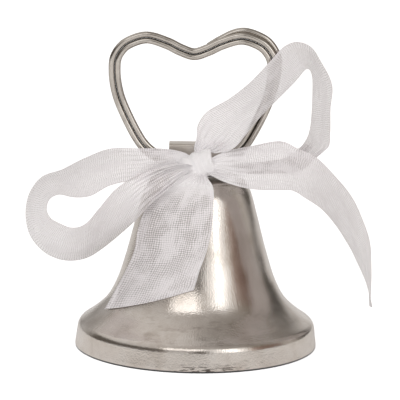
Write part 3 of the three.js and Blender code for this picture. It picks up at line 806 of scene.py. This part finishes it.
def make_clapper():
    tip_top = BALL_HEIGHT - BALL_RADIUS - 0.3
    neck = CLAPPER_EYE_HEIGHT - EYE_RADIUS
    stem = spun("clapper_stem", rounded([
        (0, tip_top - 0.6), (1.2, tip_top - 0.6), (1.2, tip_top), (0.5, tip_top),
        (0.5, neck), (0, neck),
    ], 0.18), 32)
    angles = np.linspace(0, 2 * math.pi, 72, endpoint=False)
    path = np.stack([EYE_RADIUS * np.cos(angles), 0 * angles,
                     CLAPPER_EYE_HEIGHT + EYE_RADIUS * np.sin(angles)], axis=-1)
    eye = sweep("clapper_eye", path, LINK_WIRE_RADIUS, 20, closed=True)
    rod = joined("clapper_rod_and_eye", stem, eye)
    finish_piece(rod, "clapper", plain_steel("rod_steel", (0.66, 0.64, 0.62), 8.0, 1200.0),
                 "clapper_steel", "clapper_rod")
    start = math.degrees(math.acos(BALL_BORE_RADIUS / BALL_RADIUS))
    surface = arc((0, BALL_HEIGHT), BALL_RADIUS, -start, start, 60)
    ball = lathe("clapper_ball_turned", surface, 72)
    finish_piece(ball, "clapper", plain_steel("ball_steel", (0.68, 0.66, 0.64), 6.0, 4200.0),
                 "clapper_steel", "clapper_ball")


# ---------------------------------------------------------------- the ribbon

def bell_radius(height):
    """Outer radius of the bell at a height, wherever the height is given."""
    outline = bell_outside()
    return np.interp(height, outline[:, 1], outline[:, 0])


def ribbon_base(stations, step):
    """A smooth ruled surface through the stations, in rows about a step apart."""
    given = np.asarray(stations, float)
    fine_at = np.linspace(0, len(given) - 1, 60 * len(given))
    middle = (curve_at(given[:, :3], fine_at) + curve_at(given[:, 3:], fine_at)) / 2
    reach = along(middle)
    count = int(reach[-1] / step) + 1
    at = np.interp(np.linspace(0, reach[-1], count), reach, fine_at)
    return curve_at(given[:, :3], at), curve_at(given[:, 3:], at)


def surface_normals(grid):
    down = np.gradient(grid, axis=0)
    across = np.gradient(grid, axis=1)
    return unit(np.cross(down, across))


def soft_noise(shape, smoothness):
    """Smooth random values of about -1 to 1 over a grid."""
    values = rng.standard_normal([size + 6 * width for size, width in zip(shape, smoothness)])
    for axis, width in enumerate(smoothness):
        weights = np.exp(-0.5 * (np.arange(-3 * width, 3 * width + 1) / width) ** 2)
        weights /= np.sqrt((weights**2).sum())
        values = np.apply_along_axis(np.convolve, axis, values, weights, "valid")
    return np.clip(values, -2.0, 2.0) / 2


def pleated(grid, share, span, cup, pleats, under):
    """The ruled surface with its pleats, its cupped full width, its crinkles and its turned edge."""
    rows, columns = grid.shape[:2]
    gather = 1 - smooth_step(5.0, 12.5, span)
    lost_width = np.sqrt(np.maximum(0.0, RIBBON_WIDTH**2 - span**2))
    depth = PLEAT_SHARE * lost_width / (4 * pleats) * gather
    wander = soft_noise((rows, 1), (16, 1))[:, 0]
    spacing = share + 0.03 * np.sin(2 * math.pi * 1.3 * share + 0.7)
    phase = 2 * math.pi * (pleats * spacing[None, :] + 0.25 * wander[:, None])
    folds = np.sin(phase) * (1 + 0.35 * np.sin(2.7 * math.pi * share + 1.0))[None, :]
    bowl = (4 * share * (1 - share))[None, :]
    crinkle = soft_noise((rows, columns), (14, 14))
    ridge = soft_noise((rows, columns), (5, 30))
    offset = (depth[:, None] * folds
              + cup * (1 - gather)[:, None] * bowl
              + 0.16 * crinkle
              + 0.06 * ridge
              - FOLD_GAP * under[None, :])
    return grid + surface_normals(grid) * offset[:, :, None]


def ribbon_piece(name, stations, material, node_name, cup,
                 both_ends=False, folded=0.0, pleats=8, columns=97, shape=None):
    """One stretch of the bow: a sheet whose pleats take up much of the width lost at the knot."""
    first, second = ribbon_base(stations, 0.4)
    cloth = np.linspace(0, RIBBON_WIDTH, columns)
    share = np.abs(cloth - folded) / (RIBBON_WIDTH - folded)
    under = smooth_step(0, 0.4, folded - cloth)
    grid = (first[:, None, :] * (1 - share)[None, :, None]
            + second[:, None, :] * share[None, :, None])
    reach = along((first + second) / 2)
    total = reach[-1]
    span = np.linalg.norm(second - first, axis=1)
    grid = pleated(grid, share, span, cup, pleats, under)
    if shape is not None:
        grid = shape(grid)
    across_mm = np.tile(cloth, (len(reach), 1))
    from_knot = np.minimum(reach, total - reach) if both_ends else reach
    along_mm = np.repeat(from_knot[:, None], columns, axis=1)
    piece = grid_mesh(name, grid, uv=(across_mm, along_mm))
    finish_piece(piece, "root", material, "organza", node_name)
    return piece


def least_radius(height, clearance):
    """The bell's radius and a clearance below the crown, and nothing above it."""
    return np.where(height < CROWN_HEIGHT - 0.1, bell_radius(height) + clearance, 0.0)


def keep_off_bell(grid):
    """Moves points straight out from the axis until they clear the bell."""
    radius = np.hypot(grid[:, :, 0], grid[:, :, 1])
    wanted = least_radius(grid[:, :, 2], LOOP_CLEARANCE)
    factor = np.maximum(1.0, wanted / np.maximum(radius, 1e-6))
    grid[:, :, :2] *= factor[:, :, None]
    return grid


def front_tail_stations():
    draped = []
    for left_x, left_z, right_x, right_z in FRONT_TAIL_DRAPED:
        edges = []
        for x, z in ((left_x, left_z), (right_x, right_z)):
            out = float(bell_radius(z)) + DRAPE_GAP
            edges += [x, -math.sqrt(max(0.0, out**2 - x**2)), z]
        draped.append(tuple(edges))
    return FRONT_TAIL_TOP + draped


def drape_on_bell(grid):
    """The front tail hangs against the bell, so each point is at least a gap in front of it."""
    out = least_radius(grid[:, :, 2], TAIL_CLEARANCE)
    front = -np.sqrt(np.maximum(0.0, out**2 - grid[:, :, 0] ** 2))
    grid[:, :, 1] = np.minimum(grid[:, :, 1], front)
    return grid


def knot_section(columns):
    """The tied ribbon across its width: a face in soft folds, with both sides tucked under it."""
    at = np.linspace(0, RIBBON_WIDTH, columns)
    side = np.sign(at - RIBBON_WIDTH / 2)
    out = np.abs(at - RIBBON_WIDTH / 2)
    turned = np.clip((out - KNOT_FACE) / KNOT_BEND, 0, math.pi)
    back = np.maximum(0, out - KNOT_FACE - math.pi * KNOT_BEND)
    sideways = side * (np.minimum(out, KNOT_FACE) + KNOT_BEND * np.sin(turned) - back)
    depth = KNOT_BEND * (1 - np.cos(turned)) + (0.2 + 0.25 * (side > 0)) * np.minimum(1, back)
    folds = 0.16 * np.cos(2 * math.pi * 2.6 * at / (2 * KNOT_FACE)) * (out < KNOT_FACE)
    return at, sideways, depth, folds


def make_knot(material):
    """The ribbon drawn tight over the crossing, in folds that run down to the right."""
    rows = 90
    columns = 150
    turn = np.radians(np.linspace(235, -55, rows))[:, None]
    at, sideways, depth, folds = knot_section(columns)
    puff = 1 - 0.07 * (sideways / KNOT_FACE)[None, :] ** 2
    inward = (depth + folds)[None, :] + 0.12 * soft_noise((rows, columns), (14, 14))
    pinch = 0.88 + 0.16 * np.abs(np.cos(turn))
    x = sideways[None, :] * pinch
    y = -(KNOT_RADII[1] * puff - inward) * np.sin(turn)
    z = -(KNOT_RADII[2] * puff - inward) * np.cos(turn)
    lean = math.radians(24)
    grid = np.stack([
        KNOT_CENTRE[0] + x * math.cos(lean) - z * math.sin(lean),
        KNOT_CENTRE[1] + y,
        KNOT_CENTRE[2] + x * math.sin(lean) + z * math.cos(lean),
    ], axis=-1)
    across_mm = np.tile(at, (rows, 1))
    along_mm = np.repeat(np.linspace(-KNOT_LENGTH, 0, rows)[:, None], columns, axis=1)
    knot = grid_mesh("ribbon_knot_folded", grid, uv=(across_mm, along_mm))
    finish_piece(knot, "root", material, "organza", "ribbon_knot")


def make_neck_wrap(material):
    """The ribbon gathered into fine pleats round the strap, under the heart's wires."""
    half_x = 6.8
    half_y = 3.7
    corner = 1.0
    line = []
    for centre, start in (((half_x - corner, half_y - corner), 0),
                          ((corner - half_x, half_y - corner), 90),
                          ((corner - half_x, corner - half_y), 180),
                          ((half_x - corner, corner - half_y), 270)):
        line += arc(centre, corner, start, start + 90, 10)
    path = np.array(line + line[:1])
    reach = along(path)
    count = 150
    even = np.linspace(0, reach[-1], count, endpoint=False)
    ring = np.stack([np.interp(even, reach, path[:, k]) for k in range(2)], axis=-1)
    out = unit(np.roll(ring, -1, axis=0) - np.roll(ring, 1, axis=0))[:, ::-1] * [1, -1]
    columns = 120
    share = np.linspace(0, 1, columns)
    unevenness = 1 + 0.12 * soft_noise((count, columns), (6, 3))
    pleat = 0.33 * np.sin(2 * math.pi * WRAP_PLEATS * share)[None, :] * unevenness
    waver = 0.04 * soft_noise((count, columns), (8, 8))
    height = WRAP_BOTTOM + (WRAP_TOP - WRAP_BOTTOM) * share[None, :] + waver
    grid = np.stack([
        ring[:, :1] + out[:, :1] * pleat,
        ring[:, 1:] + out[:, 1:] * pleat,
        height,
    ], axis=-1)
    across_mm = np.tile(share * RIBBON_WIDTH, (count + 1, 1))
    along_mm = np.repeat(np.append(even, reach[-1])[:, None], columns, axis=1)
    wrap = grid_mesh("ribbon_neck_wrap_pleated", grid, wrap_rows=True, uv=(across_mm, along_mm))
    finish_piece(wrap, "root", material, "organza", "ribbon_neck_wrap")


def make_bow():
    material = organza()
    make_neck_wrap(material)
    make_knot(material)
    into_knot = [(-0.6, -5.8, 40.6, -0.8, -6.6, 39.4)]
    out_of_knot = [(-0.4, -7.4, 38.8, -0.6, -7.4, 39.6)]
    ribbon_piece("ribbon_left_loop_organza", into_knot + LEFT_LOOP + out_of_knot, material,
                 "ribbon_left_loop", 0.5,
                 both_ends=True, shape=keep_off_bell)
    into_knot = [(-0.2, -5.6, 40.4, 1.2, -5.8, 40.2)]
    out_of_knot = [(1.2, -5.8, 38.8, 1.2, -6.2, 39.6)]
    ribbon_piece("ribbon_right_loop_organza", into_knot + RIGHT_LOOP + out_of_knot, material,
                 "ribbon_right_loop", 0.5, both_ends=True)
    into_knot = [(0.9, -6.4, 39.9, 0.9, -7.4, 38.6)]
    ribbon_piece("ribbon_right_tail_organza", into_knot + RIGHT_TAIL, material,
                 "ribbon_right_tail", 0.5)
    into_knot = [(-0.4, -7.2, 38.6, 1.0, -7.2, 38.6)]
    ribbon_piece("ribbon_front_tail_organza", into_knot + front_tail_stations(), material,
                 "ribbon_front_tail", 0.2,
                 folded=TURNED_UNDER, shape=drape_on_bell)


# ---------------------------------------------------------------- studio

CAMERA_ELEVATION = math.radians(10.94)
CAMERA_DISTANCE = 0.6
CAMERA_ROLL = math.radians(-0.75)
CAMERA_TARGET = Vector((0.00057, 0.0, 0.03101))
CAMERA_LENS = 257.9


def make_camera():
    forward = Vector((0, math.cos(CAMERA_ELEVATION), -math.sin(CAMERA_ELEVATION)))
    level_right = Vector((1, 0, 0))
    level_up = level_right.cross(forward)
    right = level_right * math.cos(CAMERA_ROLL) - level_up * math.sin(CAMERA_ROLL)
    up = level_right * math.sin(CAMERA_ROLL) + level_up * math.cos(CAMERA_ROLL)
    data = bpy.data.cameras.new("camera")
    data.sensor_width = 36.0
    data.lens = CAMERA_LENS
    data.clip_start = 0.01
    data.clip_end = 50.0
    camera = bpy.data.objects.new("camera", data)
    turn = Matrix((right, up, -forward)).transposed()
    place = Matrix.Translation(CAMERA_TARGET - forward * CAMERA_DISTANCE)
    camera.matrix_world = place @ turn.to_4x4()
    bpy.context.scene.collection.objects.link(camera)
    bpy.context.scene.camera = camera


def direction(azimuth, elevation):
    """Towards a place in the studio. Azimuth 0 is the photographer's side and 90 the right."""
    a = math.radians(azimuth)
    e = math.radians(elevation)
    return Vector((math.sin(a) * math.cos(e), -math.cos(a) * math.cos(e), math.sin(e)))


def softbox(name, azimuth, elevation, distance, size, power, colour=(1, 1, 1), mirrored=True):
    """A rectangular light aimed at the object. One that isn't mirrored leaves no image in metal."""
    data = bpy.data.lights.new(name, "AREA")
    data.shape = "RECTANGLE"
    data.size, data.size_y = size
    data.energy = power
    data.color = colour
    light = bpy.data.objects.new(name, data)
    light.visible_glossy = mirrored
    light.location = direction(azimuth, elevation) * distance
    light.rotation_euler = (-light.location).to_track_quat("-Z", "Y").to_euler()
    bpy.context.scene.collection.objects.link(light)


def grey(level, warmth=0.0):
    """A neutral tone, or one with less green and much less blue as warmth rises."""
    return (level, level * (1 - 0.5 * warmth), level * (1 - warmth))


# Tones of the room by compass direction, in degrees from the photographer's side towards the right.
WALLS = [
    (-180, grey(0.80, 0.04)), (-169, grey(0.72, 0.05)), (-161, grey(0.32, 0.08)),
    (-145, grey(0.46, 0.05)), (-132, grey(0.40, 0.08)), (-115, grey(0.13, 0.2)),
    (-60, grey(0.11, 0.2)), (-38, grey(0.14, 0.2)), (-30, grey(0.42, 0.08)),
    (-18, grey(0.62, 0.03)), (-5, grey(0.56, 0.03)), (2, grey(0.12, 0.2)), (9, grey(0.12, 0.2)),
    (15, grey(0.74, 0.05)), (22, grey(0.95, 0.03)), (54, grey(0.80, 0.06)),
    (61, (0.42, 0.33, 0.28)), (70, (0.21, 0.142, 0.117)), (89, (0.19, 0.137, 0.117)),
    (98, grey(0.46, 0.14)), (111, grey(0.50, 0.1)), (121, grey(0.20, 0.14)),
    (131, grey(0.10, 0.14)), (141, grey(0.12, 0.14)), (152, grey(0.48, 0.08)),
    (166, grey(0.75, 0.05)), (180, grey(0.80, 0.04)),
]
UPPER_WALLS = [
    (-180, grey(0.66, 0.06)), (-120, grey(0.66, 0.06)), (-60, grey(0.52, 0.08)),
    (-20, grey(0.52, 0.1)), (8, grey(0.66, 0.08)), (22, grey(0.85, 0.05)), (54, grey(0.72, 0.06)),
    (64, grey(0.34, 0.2)), (78, grey(0.22, 0.3)), (96, grey(0.32, 0.14)), (120, grey(0.24, 0.14)),
    (150, grey(0.22, 0.12)), (168, grey(0.55, 0.08)), (180, grey(0.66, 0.06)),
]
CEILING = [
    (-180, grey(0.54, 0.08)), (-120, grey(0.72, 0.06)), (-60, grey(0.60, 0.08)),
    (0, grey(0.46, 0.1)), (60, grey(0.32, 0.14)), (140, grey(0.30, 0.14)), (180, grey(0.48, 0.08)),
]
HORIZON = grey(0.55, 0.03)


def compass_tones(tree, turn, tones):
    place = remap(tree, turn, -180, 180, 0.0, 1.0)
    return ramp(tree, place, [((azimuth + 180) / 360, tone) for azimuth, tone in tones])


def make_world():
    """The room as the metal sees it: walls, upper walls, a ceiling and a pale horizon."""
    world = bpy.data.worlds.new("studio")
    world.use_nodes = True
    bpy.context.scene.world = world
    tree = world.node_tree
    x, y, z = axes_of(tree, node(tree, "ShaderNodeTexCoord").outputs["Generated"])
    azimuth = maths(tree, "ARCTAN2", x, maths(tree, "MULTIPLY", y, -1.0))
    turn = maths(tree, "MULTIPLY", azimuth, 180 / math.pi)
    # At the back the walls come down a little lower.
    behind = remap(tree, y, -0.1, 0.4, 0.0, 0.1, smooth=True)
    above_horizon = remap(tree, maths(tree, "ADD", z, behind), 0.04, 0.13, 0.0, 1.0, smooth=True)
    upper = remap(tree, z, 0.42, 0.58, 0.0, 1.0, smooth=True)
    overhead = remap(tree, z, 0.55, 0.85, 0.0, 1.0, smooth=True)
    room = mix(tree, above_horizon, (*HORIZON, 1), compass_tones(tree, turn, WALLS))
    room = mix(tree, upper, room, compass_tones(tree, turn, UPPER_WALLS))
    room = mix(tree, overhead, room, compass_tones(tree, turn, CEILING))
    seen = node(tree, "ShaderNodeLightPath").outputs["Is Camera Ray"]
    shown = mix(tree, seen, room, (1, 1, 1, 1))
    tree.links.new(shown, tree.nodes["Background"].inputs["Color"])


def make_lights():
    softbox("key", 39, 25, 1.0, (0.50, 0.60), 0.22)
    softbox("key_strip", 36, 24, 0.98, (0.16, 0.60), 0.34)
    softbox("front_top", -14, 40, 1.0, (0.56, 0.33), 0.60)
    softbox("cloth_fill", -15, 30, 1.3, (1.5, 1.2), 6.0, (1.0, 0.995, 1.0), mirrored=False)


def make_floor():
    mesh = bpy.data.meshes.new("floor")
    half = 6.0
    mesh.from_pydata([(-half, -half, 0), (half, -half, 0), (half, half, 0), (-half, half, 0)], [],
                     [(0, 1, 2, 3)])
    floor = bpy.data.objects.new("floor", mesh)
    bpy.context.scene.collection.objects.link(floor)
    material, tree, shader = new_material("floor_white")
    grain = noise(tree, object_position(tree), 30.0, 3.0)
    tree.links.new(ramp(tree, grain, [(0.3, (0.90, 0.90, 0.90)), (0.7, (0.93, 0.93, 0.93))]),
                   shader.inputs["Base Color"])
    shader.inputs["Roughness"].default_value = 0.9
    shader.inputs["Specular IOR Level"].default_value = 0.1
    shader.inputs["Emission Color"].default_value = (1, 1, 1, 1)
    seen = node(tree, "ShaderNodeLightPath").outputs["Is Camera Ray"]
    tree.links.new(remap(tree, seen, 0.0, 1.0, 0.12, 0.7), shader.inputs["Emission Strength"])
    mesh.materials.append(material)


bpy.context.scene.view_settings.view_transform = "Standard"
make_camera()
make_floor()
make_world()
make_lights()
make_bell()
make_heart_wire()
make_strap()
make_hanger()
make_washer()
make_link()
make_clapper()
make_bow()
